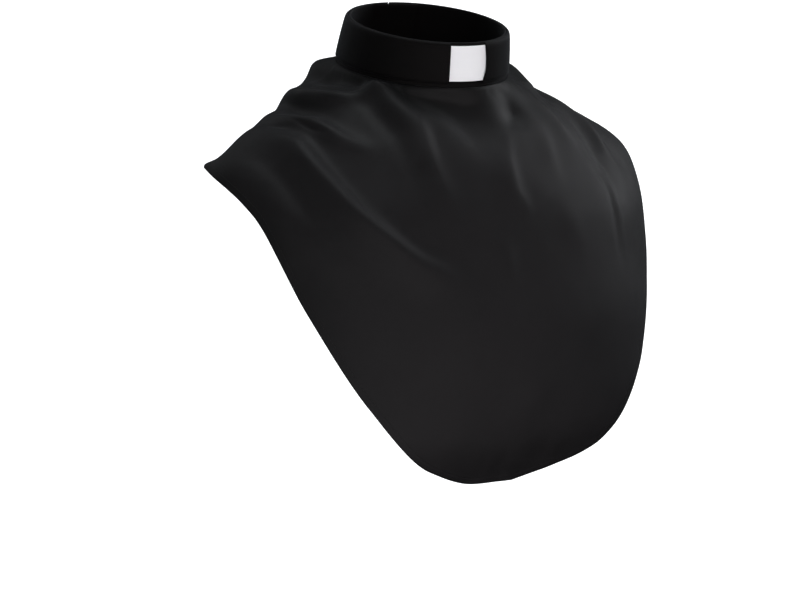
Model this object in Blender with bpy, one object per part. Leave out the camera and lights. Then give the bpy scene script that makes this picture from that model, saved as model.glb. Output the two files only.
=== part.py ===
"""Clerical collar, worn: a standing neckband with a folded leaf, a white tab and a black cloth cape.

The front faces -Y and the wearer's right is -X. The origin is the middle of the seam
between the neckband and the cape. Sizes are in millimetres until a mesh is made.
A heading is a compass angle round the neck: 0 at the front, + towards the wearer's left.
"""

import math

import bmesh
import bpy
import numpy as np

MM = 0.001

# Neckband ring at the seam and at its top edge
SEAM_HALF_WIDTH = 64.5
SEAM_HALF_DEPTH = 67.5
SEAM_TILT = math.radians(10.0)
TOP_HALF_WIDTH = 61.2
TOP_HALF_DEPTH = 60.8
TOP_TILT = math.radians(12.5)
BAND_HEIGHT = 32.8
BAND_LEAN = 9.0

# Walls and gaps, as depths inwards from the outer face of the leaf
PIECE_GAP = 0.3
LEAF_WALL = 1.3
TAB_OUTER = LEAF_WALL + PIECE_GAP
TAB_WALL = 0.8
BAND_OUTER = TAB_OUTER + TAB_WALL + PIECE_GAP
BAND_WALL = 1.8
BAND_INNER = BAND_OUTER + BAND_WALL
FOOT_OUTER = 1.2
FASTENER_WALL = 1.0
LAP_STEP = BAND_WALL + FASTENER_WALL + 2.0 * PIECE_GAP

# Heights above the seam, and the rounding of the collar's edges
LEAF_BOTTOM = 3.0
TAB_BOTTOM = 4.3
TAB_TOP = 30.6
FOOT_RISE = 3.5
LOWER_RISE = 13.0
UPPER_RISE = 22.5
EDGE_ROUND = 0.4
LEAF_BULGE = 0.2

# fall below the band's top edge, depth inwards from the leaf's outer face
LIP_OUTSIDE = ((3.3, 0.0), (1.3, 0.4), (0.3, 1.2), (0.0, 2.0))
LIP_INSIDE = ((0.4, 2.4), (0.7, 2.3), (1.5, 1.4), (2.4, 1.3))

# Headings of the tab and of the window in front of it, and the laps at the back
TAB_HALF_ANGLE = 39.0
WINDOW_RIGHT = -13.8
WINDOW_LEFT = 13.8
WINDOW_BOW = 1.2
WINDOW_HOOK = 1.8
WINDOW_HOOK_HEIGHT = 9.0
BACK_SPLIT = 0.6
LAP_WIDTH = 26.0
LAP_RAMP = 16.0
FASTENER_START = 2.5
FASTENER_LENGTH = 17.0
FASTENER_BOTTOM = 6.0
FASTENER_TOP = 28.0

# Spans between the sections of each swept piece
BAND_LAP_SPANS = 9
BAND_SPANS = 48
LEAF_SPANS = 25
TAB_SPANS = 26
FASTENER_SPANS = 5

# Cape cloth
CAPE_WALL = 1.2
TILT_FADE = 60.0
SEAM_EASE = 9.0
CAPE_ROWS = 19
CAPE_FRONT_COLUMNS = 70
CAPE_BACK_COLUMNS = 15
CAPE_LAP_COLUMNS = 3
FRONT_REACH = 112.0
ROW_CROWDING = 1.15

# level below the seam, half width, front depth, back depth, roundness, sideways lean
SECTIONS = (
    (0.0, SEAM_HALF_WIDTH - FOOT_OUTER, (SEAM_HALF_DEPTH - FOOT_OUTER) * math.cos(SEAM_TILT),
     (SEAM_HALF_DEPTH - FOOT_OUTER) * math.cos(SEAM_TILT), 2.0, 0.0),
    (18.0, 94.0, 71.0, 88.0, 2.1, 1.0),
    (40.0, 132.0, 85.0, 93.0, 1.9, 4.0),
    (65.0, 176.0, 100.0, 98.0, 1.7, 5.5),
    (95.0, 176.0, 111.0, 108.0, 2.3, 3.5),
    (130.0, 175.0, 121.0, 115.0, 2.4, 3.0),
    (180.0, 176.0, 133.0, 119.0, 2.4, 4.0),
    (240.0, 177.0, 136.0, 120.0, 2.5, 5.0),
    (320.0, 165.0, 108.0, 118.0, 2.3, 3.0),
)

# heading, height of the hem on the wearer's right, on the wearer's left
HEM = (
    (0.0, -289.0, -289.0),
    (15.0, -288.0, -282.0),
    (30.0, -274.0, -271.0),
    (45.0, -225.0, -222.0),
    (60.0, -159.0, -155.0),
    (75.0, -95.0, -100.0),
    (90.0, -68.0, -60.0),
    (110.0, -60.0, -60.0),
    (135.0, -108.0, -108.0),
    (160.0, -152.0, -152.0),
    (180.0, -166.0, -166.0),
)

# name, height (a valley is below 0), half width, strength at start and end,
# path of (heading, share of the way from the seam to the hem)
FOLDS = (
    ("breast_ridge_right", 4.5, 8.0, 1.0, 0.0, ((-52, 0.02), (-37, 0.07), (-28, 0.13), (-17, 0.28))),
    ("collar_ridge_right", 2.5, 7.0, 0.5, 1.0, ((-108, 0.28), (-76, 0.10), (-50, 0.01))),
    ("collar_dent_right", -2.5, 7.0, 0.4, 0.6, ((-126, 0.16), (-84, 0.08), (-65, 0.01))),
    ("neck_valley_right", -4.0, 9.0, 0.6, 0.0, ((-62, 0.08), (-48, 0.10), (-34, 0.18))),
    ("shoulder_valley_right", -3.0, 8.0, 0.5, 0.0, ((-104, 0.40), (-80, 0.30), (-68, 0.22))),
    ("shoulder_ridge_right", 3.0, 8.0, 0.5, 0.0, ((-110, 0.55), (-77, 0.36), (-66, 0.28), (-45, 0.18))),
    ("long_ridge_right", 5.0, 9.0, 0.4, 0.0, ((-89, 0.62), (-60, 0.44), (-37, 0.40), (-12, 0.47))),
    ("long_valley_right", -4.0, 12.0, 0.5, 0.0, ((-74, 0.58), (-60, 0.50), (-50, 0.50), (-36, 0.52))),
    ("arm_ridge_right", 2.5, 13.0, 0.4, 0.0, ((-87, 0.84), (-76, 0.84), (-65, 0.76), (-48, 0.63))),
    ("throat_valley", -2.5, 9.0, 0.8, 0.0, ((-32, 0.01), (-19, 0.05), (-4, 0.11))),
    ("throat_ridge", 1.5, 6.0, 0.5, 0.5, ((30, 0.01), (20, 0.07), (11, 0.12))),
    ("breast_ridge_centre", 3.0, 9.0, 0.3, 0.0, ((9, 0.08), (12, 0.14), (10, 0.22), (12, 0.33))),
    ("lower_ridge_centre", 1.8, 11.0, 0.0, 0.0, ((0, 0.33), (3, 0.51))),
    ("collar_dent_left", -2.0, 6.0, 0.8, 0.0, ((39, 0.03), (35, 0.09))),
    ("breast_ridge_left", 2.2, 9.0, 0.0, 0.0, ((38, 0.14), (31, 0.26))),
    ("arm_crease_left", -2.2, 8.0, 0.2, 0.0, ((56, 0.29), (52, 0.42), (50, 0.52), (52, 0.68))),
    ("collar_ridge_left", 6.0, 9.0, 0.5, 0.5, ((100, 0.05), (82, 0.05), (66, 0.07))),
    ("shoulder_dent_left", -2.5, 8.0, 0.6, 0.0, ((80, 0.15), (58, 0.14))),
    ("shoulder_ridge_left", 1.2, 9.0, 0.5, 0.0, ((108, 0.50), (80, 0.34), (64, 0.22))),
    ("back_ridge_right", 3.0, 13.0, 0.3, 0.8, ((-146, 0.15), (-150, 0.55), (-147, 1.0))),
    ("back_ridge_left", 3.0, 13.0, 0.3, 0.8, ((142, 0.15), (148, 0.55), (145, 1.0))),
    ("neck_ridge_right", 4.0, 8.5, 0.7, 0.3, ((-150, 0.07), (-134, 0.09), (-122, 0.15), (-108, 0.18))),
    ("shoulder_drop_right", -4.0, 13.0, 0.7, 0.3, ((-108, 0.78), (-100, 0.92), (-92, 1.0))),
)
FOLD_STEPS = 24

# colour, roughness, sheen of each finish
CAPE_FINISH = ((0.012, 0.012, 0.014), 0.6, 0.2)
COLLAR_FINISH = ((0.008, 0.008, 0.009), 0.7, 0.15)
TAB_FINISH = ((0.8, 0.81, 0.82), 0.35, 0.0)
FASTENER_FINISH = ((0.01, 0.01, 0.01), 0.9, 0.0)


def smooth(rows, column, at):
    """Monotone cubic curve through one column of a table, whose first column is the key."""
    table = np.array(rows)
    keys = table[:, 0]
    values = table[:, column]
    steps = np.diff(keys)
    rises = np.diff(values) / steps
    slopes = np.concatenate(([rises[0]], np.zeros(len(keys) - 2), [rises[-1]]))
    for i in range(1, len(keys) - 1):
        if rises[i - 1] * rises[i] > 0.0:
            near = 2.0 * steps[i] + steps[i - 1]
            far = steps[i] + 2.0 * steps[i - 1]
            slopes[i] = (near + far) / (near / rises[i - 1] + far / rises[i])
    at = np.clip(at, keys[0], keys[-1])
    i = np.clip(np.searchsorted(keys, at, side="right") - 1, 0, len(steps) - 1)
    t = (at - keys[i]) / steps[i]
    start = values[i] * (1.0 + 2.0 * t) + slopes[i] * steps[i] * t
    end = values[i + 1] * (3.0 - 2.0 * t) - slopes[i + 1] * steps[i] * (1.0 - t)
    return start * (1.0 - t) ** 2 + end * t ** 2


def ease(t):
    """Smooth step from 0 to 1."""
    t = np.clip(t, 0.0, 1.0)
    return t * t * (3.0 - 2.0 * t)


def lap_share(heading):
    """How far the cloth has stepped inwards to pass under the other end at the centre back."""
    return ease((-180.0 + LAP_RAMP - heading) / LAP_RAMP)


def wrapped(heading):
    """The same compass heading between -180 and 180."""
    return np.where(heading < -180.0, heading + 360.0, heading)


def collar_point(heading, rise, depth):
    """A point of the collar: rise above the seam, depth inwards from the leaf's outer face."""
    share = rise / BAND_HEIGHT
    half_width = SEAM_HALF_WIDTH + (TOP_HALF_WIDTH - SEAM_HALF_WIDTH) * share - depth
    half_depth = SEAM_HALF_DEPTH + (TOP_HALF_DEPTH - SEAM_HALF_DEPTH) * share - depth
    tilt = SEAM_TILT + (TOP_TILT - SEAM_TILT) * share
    angle = math.radians(heading)
    back = -half_depth * math.cos(angle)
    return (
        half_width * math.sin(angle),
        back * math.cos(tilt) - BAND_LEAN * share,
        back * math.sin(tilt) + rise,
    )


def cape_points(heading, share, stepped=True):
    """Points of the smooth cape before its folds, for arrays of heading and share."""
    angle = np.radians(heading)
    sine = np.abs(np.sin(angle))
    cosine = np.cos(angle)
    step = LAP_STEP * lap_share(heading) if stepped else 0.0

    def radius(level):
        half_width = smooth(SECTIONS, 1, level)
        half_depth = np.where(cosine > 0.0, smooth(SECTIONS, 2, level), smooth(SECTIONS, 3, level))
        power = smooth(SECTIONS, 4, level)
        return ((sine / half_width) ** power + (np.abs(cosine) / half_depth) ** power) ** (-1.0 / power)

    seam = -(radius(0.0 * share) - step) * cosine * math.tan(SEAM_TILT)
    side = wrapped(heading)
    hem = np.where(side < 0.0, smooth(HEM, 1, np.abs(side)), smooth(HEM, 2, np.abs(side)))
    height = seam + (hem - seam) * share
    below = seam - height
    level = seam * np.exp(-below / TILT_FADE) - height
    reach = radius(np.maximum(level, 0.0)) - step
    lean = smooth(SECTIONS, 5, level)
    return np.stack((
        reach * np.sin(angle) + lean,
        -reach * cosine,
        height - PIECE_GAP,
    ), axis=-1)


def fold_path(stops):
    """Points along a fold, from its stops of heading and share."""
    keys = np.linspace(0.0, 1.0, len(stops))
    rows = [(key, heading, share) for key, (heading, share) in zip(keys, stops)]
    at = np.linspace(0.0, 1.0, FOLD_STEPS)
    return cape_points(smooth(rows, 1, at), smooth(rows, 2, at), stepped=False)


def fold_lift(points):
    """How far all the folds together lift each point off the smooth cape."""
    lift = np.zeros(points.shape[:-1])
    along = np.linspace(0.0, 1.0, FOLD_STEPS)
    for _, height, half_width, start, end, stops in FOLDS:
        strength = np.where(
            along < 0.5,
            start + (1.0 - start) * ease(2.0 * along),
            end + (1.0 - end) * ease(2.0 - 2.0 * along),
        )
        apart = np.linalg.norm(points[..., None, :] - fold_path(stops), axis=-1)
        shape = strength * np.exp(-((apart / half_width) ** 2))
        lift += height * shape.max(axis=-1)
    return lift


def grid_normals(points):
    """Outward normals of a grid of points, rows running down and columns to the wearer's left."""
    down = np.gradient(points, axis=0)
    across = np.gradient(points, axis=1)
    normals = np.cross(down, across)
    return normals / np.linalg.norm(normals, axis=-1, keepdims=True)


def cape_grid():
    """Headings and shares of the cape's grid, with the lapped end's columns first."""
    rows = np.linspace(0.0, 1.0, CAPE_ROWS + 1) ** ROW_CROWDING
    headings = np.concatenate((
        np.linspace(-180.0, -FRONT_REACH, CAPE_BACK_COLUMNS + 1)[:-1],
        np.linspace(-FRONT_REACH, FRONT_REACH, CAPE_FRONT_COLUMNS + 1),
        np.linspace(FRONT_REACH, 180.0, CAPE_BACK_COLUMNS + 1)[1:],
    ))
    share, heading = np.meshgrid(rows, headings, indexing="ij")
    back_depth = np.linalg.norm(cape_points(heading[:, :1], share[:, :1])[..., :2], axis=-1)
    lap = np.linspace(1.0, 0.0, CAPE_LAP_COLUMNS + 1)[:-1] * np.degrees(LAP_WIDTH / back_depth)
    heading = np.concatenate((-180.0 - lap, heading), axis=1)
    share = np.concatenate((np.repeat(share[:, :1], CAPE_LAP_COLUMNS, axis=1), share), axis=1)
    return heading, share


def cape_surface():
    """The cape's outer face as a grid of points."""
    heading, share = cape_grid()
    smooth_points = cape_points(heading, share)
    plain = cape_points(wrapped(heading), share, stepped=False)
    run = np.linalg.norm(smooth_points - smooth_points[:1], axis=-1)
    lift = fold_lift(plain) * ease(run / SEAM_EASE)
    return smooth_points + grid_normals(smooth_points) * lift[..., None]


def material(name, finish):
    """A plain Principled material."""
    colour, roughness, sheen = finish
    made = bpy.data.materials.new(name)
    made.use_nodes = True
    shader = made.node_tree.nodes["Principled BSDF"]
    shader.inputs["Base Color"].default_value = (*colour, 1.0)
    shader.inputs["Roughness"].default_value = roughness
    shader.inputs["Metallic"].default_value = 0.0
    shader.inputs["Sheen Weight"].default_value = sheen
    return made


def add_object(name, shape, finish):
    """Put a bmesh into the scene as a named object."""
    bmesh.ops.recalc_face_normals(shape, faces=shape.faces)
    mesh = bpy.data.meshes.new(name)
    shape.to_mesh(mesh)
    shape.free()
    mesh.materials.append(finish)
    mesh.shade_smooth()
    made = bpy.data.objects.new(name, mesh)
    bpy.context.scene.collection.objects.link(made)
    return made


def sweep(name, finish, sections):
    """A closed solid through a row of sections, in millimetres.

    A section's first half runs up its outer face, and its second half comes down its inner face.
    """
    shape = bmesh.new()
    rings = [[shape.verts.new([c * MM for c in point]) for point in ring] for ring in sections]
    count = len(rings[0])
    for ring, following in zip(rings, rings[1:]):
        for i in range(count):
            j = (i + 1) % count
            shape.faces.new((ring[i], ring[j], following[j], following[i]))
    for ring in (rings[0], rings[-1]):
        for i in range(count // 2 - 1):
            shape.faces.new((ring[i], ring[i + 1], ring[count - 2 - i], ring[count - 1 - i]))
    return add_object(name, shape, finish)


def make_cape(finish):
    """One cloth sheet on its grid, given its wall by a Solidify modifier."""
    points = cape_surface()
    rows, columns = points.shape[:2]
    shape = bmesh.new()
    verts = [[shape.verts.new(points[r, c] * MM) for c in range(columns)] for r in range(rows)]
    for r in range(rows - 1):
        for c in range(columns - 1):
            corners = (verts[r][c], verts[r + 1][c], verts[r + 1][c + 1], verts[r][c + 1])
            shape.faces.new(corners)
    mesh = bpy.data.meshes.new("cape")
    shape.to_mesh(mesh)
    shape.free()
    mesh.materials.append(finish)
    mesh.shade_smooth()
    made = bpy.data.objects.new("cape", mesh)
    bpy.context.scene.collection.objects.link(made)
    wall = made.modifiers.new("wall", "SOLIDIFY")
    wall.thickness = CAPE_WALL * MM
    wall.offset = -1.0
    return made


def make_neckband(finish):
    """The standing band, whose right end steps in and laps under its left end."""
    outline = (
        (0.0, FOOT_OUTER),
        (FOOT_RISE, BAND_OUTER),
        (LOWER_RISE, BAND_OUTER),
        (UPPER_RISE, BAND_OUTER),
        (BAND_HEIGHT - EDGE_ROUND, BAND_OUTER),
        (BAND_HEIGHT, BAND_OUTER + EDGE_ROUND),
        (BAND_HEIGHT, BAND_INNER - EDGE_ROUND),
        (BAND_HEIGHT - EDGE_ROUND, BAND_INNER),
        (UPPER_RISE, BAND_INNER),
        (LOWER_RISE, BAND_INNER),
        (FOOT_RISE, BAND_INNER),
        (0.0, FOOT_OUTER + BAND_WALL),
    )
    lap_angle = math.degrees(LAP_WIDTH / SEAM_HALF_DEPTH)
    lapped = np.linspace(-180.0 - lap_angle, -180.0 + LAP_RAMP, BAND_LAP_SPANS + 1)
    around = np.linspace(-180.0 + LAP_RAMP, 180.0, BAND_SPANS + 1)[1:]
    sections = []
    for heading in np.concatenate((lapped, around)):
        step = LAP_STEP * float(lap_share(heading))
        sections.append([collar_point(heading, rise, depth + step) for rise, depth in outline])
    return sweep("neckband", finish, sections)


def leaf_outline():
    """Section of the leaf: a wall that rolls in at the band's top edge."""
    return (
        (LEAF_BOTTOM, EDGE_ROUND),
        (LEAF_BOTTOM + EDGE_ROUND, 0.0),
        (LOWER_RISE, -LEAF_BULGE),
        (UPPER_RISE, -LEAF_BULGE),
        *((BAND_HEIGHT - fall, depth) for fall, depth in LIP_OUTSIDE),
        *((BAND_HEIGHT - fall, depth) for fall, depth in LIP_INSIDE),
        (UPPER_RISE, LEAF_WALL - LEAF_BULGE),
        (LOWER_RISE, LEAF_WALL - LEAF_BULGE),
        (LEAF_BOTTOM + EDGE_ROUND, LEAF_WALL),
        (LEAF_BOTTOM, LEAF_WALL - EDGE_ROUND),
    )


def window_left(rise):
    """Heading of the left leaf's front end, bowed, with its foot hooked under the tab's corner."""
    share = (rise - LEAF_BOTTOM) / (BAND_HEIGHT - LEAF_BOTTOM)
    bow = WINDOW_BOW * math.sin(math.pi * max(0.0, min(1.0, share)))
    hook = WINDOW_HOOK * (1.0 - float(ease((rise - LEAF_BOTTOM) / WINDOW_HOOK_HEIGHT)))
    return WINDOW_LEFT + bow - hook


def make_leaf(name, finish, front_end, back_end):
    """One half of the outer leaf, from its front end by the tab to the centre back."""
    outline = leaf_outline()
    sections = []
    for share in np.linspace(0.0, 1.0, LEAF_SPANS + 1):
        ring = []
        for rise, depth in outline:
            start = front_end(rise)
            ring.append(collar_point(start + (back_end - start) * share, rise, depth))
        sections.append(ring)
    return sweep(name, finish, sections)


def make_tab(finish):
    """The white tab, a curved strip between the band and the leaves."""
    inner = TAB_OUTER + TAB_WALL
    outline = (
        (TAB_BOTTOM, TAB_OUTER),
        (LOWER_RISE, TAB_OUTER),
        (UPPER_RISE, TAB_OUTER),
        (TAB_TOP, TAB_OUTER),
        (TAB_TOP, inner),
        (UPPER_RISE, inner),
        (LOWER_RISE, inner),
        (TAB_BOTTOM, inner),
    )
    headings = np.linspace(-TAB_HALF_ANGLE, TAB_HALF_ANGLE, TAB_SPANS + 1)
    sections = [[collar_point(h, rise, depth) for rise, depth in outline] for h in headings]
    return sweep("tab_insert", finish, sections)


def make_fastener(finish):
    """The plain hook-and-loop strip between the band's lapped ends."""
    outer = BAND_INNER + PIECE_GAP
    inner = outer + FASTENER_WALL
    outline = (
        (FASTENER_BOTTOM, outer),
        (FASTENER_TOP, outer),
        (FASTENER_TOP, inner),
        (FASTENER_BOTTOM, inner),
    )
    end = 180.0 - FASTENER_START
    headings = np.linspace(end - FASTENER_LENGTH, end, FASTENER_SPANS + 1)
    sections = [[collar_point(h, rise, depth) for rise, depth in outline] for h in headings]
    return sweep("back_fastener", finish, sections)


def main():
    """Build every piece of the collar."""
    for old in list(bpy.data.objects):
        bpy.data.objects.remove(old)
    black_cloth = material("cape_cloth", CAPE_FINISH)
    collar_cloth = material("collar_cloth", COLLAR_FINISH)
    white_plastic = material("tab_white", TAB_FINISH)
    black_strip = material("fastener_black", FASTENER_FINISH)
    make_cape(black_cloth)
    make_neckband(collar_cloth)
    make_leaf("collar_leaf_right", collar_cloth, lambda rise: WINDOW_RIGHT, BACK_SPLIT - 180.0)
    make_leaf("collar_leaf_left", collar_cloth, window_left, 180.0 - BACK_SPLIT)
    make_tab(white_plastic)
    make_fastener(black_strip)


main()
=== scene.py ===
"""Clerical collar, worn: a black cloth cape, a stiff standing collar and a white tab.

The front faces -Y and the wearer's right is -X. Sizes are in millimetres until a mesh is made.
A heading is a compass angle round the neck: 0 at the front, + towards the wearer's left.
"""

import math

import bpy
import numpy as np
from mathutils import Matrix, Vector, noise


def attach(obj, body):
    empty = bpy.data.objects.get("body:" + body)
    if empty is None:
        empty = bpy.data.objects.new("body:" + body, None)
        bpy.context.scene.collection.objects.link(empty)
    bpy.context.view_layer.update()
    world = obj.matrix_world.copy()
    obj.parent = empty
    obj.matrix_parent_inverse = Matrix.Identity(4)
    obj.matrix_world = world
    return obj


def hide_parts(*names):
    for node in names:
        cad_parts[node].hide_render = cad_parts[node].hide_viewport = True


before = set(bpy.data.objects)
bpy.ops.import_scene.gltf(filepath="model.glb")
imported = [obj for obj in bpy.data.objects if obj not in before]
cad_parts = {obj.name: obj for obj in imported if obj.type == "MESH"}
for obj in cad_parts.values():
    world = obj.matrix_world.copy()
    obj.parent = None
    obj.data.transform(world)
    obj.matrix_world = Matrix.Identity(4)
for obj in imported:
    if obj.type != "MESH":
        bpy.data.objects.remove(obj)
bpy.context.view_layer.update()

MM = 0.001
TINY = 1e-9

# Neckband ring at the seam and at its top edge
SEAM_HALF_WIDTH = 64.5
SEAM_HALF_DEPTH = 67.5
SEAM_TILT = math.radians(10.0)
TOP_HALF_WIDTH = 61.2
TOP_HALF_DEPTH = 60.8
TOP_TILT = math.radians(12.5)
BAND_HEIGHT = 32.8
BAND_LEAN = 9.0

# Walls and gaps, as depths inwards from the outer face of the leaf
PIECE_GAP = 0.3
LEAF_WALL = 1.3
TAB_OUTER = LEAF_WALL + PIECE_GAP
TAB_WALL = 0.8
TAB_INNER = TAB_OUTER + TAB_WALL
BAND_OUTER = TAB_INNER + PIECE_GAP
BAND_WALL = 1.8
BAND_INNER = BAND_OUTER + BAND_WALL
FOOT_OUTER = 1.2
FASTENER_WALL = 1.0
LAP_STEP = BAND_WALL + FASTENER_WALL + 2.0 * PIECE_GAP

# Heights above the seam
LEAF_BOTTOM = 3.0
TAB_BOTTOM = 4.3
TAB_TOP = 30.6
FOOT_RISE = 3.5
LOWER_RISE = 13.0
UPPER_RISE = 22.5
FASTENER_BOTTOM = 6.0
FASTENER_LOWER = 14.0
FASTENER_UPPER = 20.0
FASTENER_TOP = 28.0

# Edges of the collar pieces, and the leaf's lip as (distance below the top, depth)
EDGE_ROUND = 0.4
TAB_CORNER = 0.3
TAB_EDGE = 0.1
LEAF_BULGE = 0.2
LIP_OUTSIDE = ((3.3, 0.0), (1.3, 0.4), (0.3, 1.2), (0.0, 2.0))
LIP_INSIDE = ((0.4, 2.4), (0.7, 2.3), (1.5, 1.4), (2.4, 1.3))

# Window, tab, back lap and fastener: in degrees, apart from the hook's height and the lap's width
TAB_HALF_ANGLE = 39.0
WINDOW_RIGHT = -13.8
WINDOW_LEFT = 13.8
WINDOW_BOW = 1.2
WINDOW_HOOK = 1.8
WINDOW_HOOK_HEIGHT = 9.0
BACK_SPLIT = 0.6
LAP_WIDTH = 26.0
LAP_RAMP = 16.0
FASTENER_START = 2.5
FASTENER_LENGTH = 17.0

# Mesh of the collar pieces, whose ends round off over a few columns
BAND_COLUMNS = 240
TAB_COLUMNS = 100
FASTENER_COLUMNS = 40
LEAF_MIDDLE_COLUMNS = 130
LEAF_END_SHARES = (0.0, 0.0012, 0.003, 0.006)
END_COLUMNS = 3
END_INSET = 0.35
THIN_END_INSET = 0.1
END_SQUEEZE = 0.9
LEAST_HALF_WALL = 0.5
CORNER_CUT = 0.25
COLLAR_SHARP = 55.0

# Unevenness of the collar's walls: how deep, how fast along and up the collar, and its seed
BAND_WOBBLE = 0.1
LEAF_WOBBLE = 0.12
WOBBLE_ALONG = 0.09
WOBBLE_UP = 0.06
WOBBLE_SEED = 4.2

# Cape cloth and its turned hem, whose lip is given as (distance inwards, distance down)
TILT_FADE = 60.0
CLOTH_WALL = 0.7
HEM_WALL = 1.2
HEM_WIDTH = 6.0
HEM_STEP = 1.2
HEM_RELIEF = 0.12
HEM_LIP = ((0.18, 0.22), (0.6, 0.34), (1.02, 0.22))
HEM_SEARCH = 14.0
SEARCH_MARGIN = 4.0
STITCH_INSET = 5.0
GROOVE_WIDTH = 0.7
CAPE_SHARP = 50.0

# Below the seam the folds fade in, and the cape's edge is thicker, to close the gap at the collar
SEAM_EASE = 8.0
SEAM_WALL = 1.5
SEAM_TURN = 3.0

# Mesh of the cape, with rows at distances from the seam and from the hem
FRONT_REACH = 112.0
FRONT_COLUMNS = 250
BACK_COLUMNS = 40
LAP_COLUMNS = 6
MIDDLE_ROWS = 112
SEAM_ROWS = (0.0, 0.5, 1.2, 2.2, 3.5)
HEM_ROWS = (9.0, 7.6, 6.6, 6.0, 5.5, 5.0, 4.5, 3.6, 2.4, 1.4, 0.6, 0.2, 0.0)
LENGTH_SAMPLES = 121
HEM_PROBE = 0.98
LEAST_SLANT = 0.45

# Flat pattern: a ring sector that starts at this radius and turns this share of each heading
FLAT_RING = 78.0
FLAT_TURN = 0.72

# Hem stitches: pitch, length and thread radius, then (share of length, share of radius) rings
STITCH_PITCH = 3.2
STITCH_LENGTH = 2.4
THREAD = 0.17
THREAD_LIFT = 0.55
STITCH_SIDES = 6
STITCH_RINGS = ((0.0, 0.25), (0.12, 0.8), (0.5, 1.0), (0.88, 0.8), (1.0, 0.25))

# Uneven cloth: height, size and seed of each layer of noise
RIPPLES = ((0.45, 42.0, 3.7), (0.16, 15.0, 11.2))

# Puckers in a belt below the seam
PUCKER_HEIGHT = 0.22
PUCKER_SIZE = 5.0
PUCKER_SEED = 7.1
PUCKER_STRETCH = (1.0, 1.0, 0.3)
PUCKER_MIDDLE = 6.0
PUCKER_SPREAD = 5.0

# level below the seam, half width, front depth, back depth, roundness, sideways lean
SECTIONS = (
    (0.0, SEAM_HALF_WIDTH - FOOT_OUTER, (SEAM_HALF_DEPTH - FOOT_OUTER) * math.cos(SEAM_TILT),
     (SEAM_HALF_DEPTH - FOOT_OUTER) * math.cos(SEAM_TILT), 2.0, 0.0),
    (18.0, 94.0, 71.0, 88.0, 2.1, 1.0),
    (40.0, 132.0, 85.0, 93.0, 1.9, 4.0),
    (65.0, 178.0, 100.0, 98.0, 1.7, 3.5),
    (95.0, 176.0, 111.0, 108.0, 2.3, 3.5),
    (130.0, 175.0, 121.0, 115.0, 2.4, 3.0),
    (180.0, 176.0, 133.0, 119.0, 2.4, 4.0),
    (240.0, 177.0, 136.0, 120.0, 2.5, 5.0),
    (320.0, 165.0, 108.0, 118.0, 2.3, 3.0),
)

# Softening of the sections: how far up and down, then (share of that distance, weight)
SOFTENING = 16.0
SOFTENING_WEIGHTS = ((-1.0, 0.1), (-0.5, 0.25), (0.0, 0.3), (0.5, 0.25), (1.0, 0.1))

# heading, height of the hem on the wearer's right, on the wearer's left
HEM = (
    (0.0, -289.0, -289.0),
    (15.0, -288.0, -282.0),
    (30.0, -274.0, -271.0),
    (45.0, -225.0, -222.0),
    (60.0, -159.0, -155.0),
    (75.0, -95.0, -100.0),
    (90.0, -71.0, -60.0),
    (110.0, -60.0, -60.0),
    (135.0, -108.0, -108.0),
    (160.0, -152.0, -152.0),
    (180.0, -166.0, -166.0),
)

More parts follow.
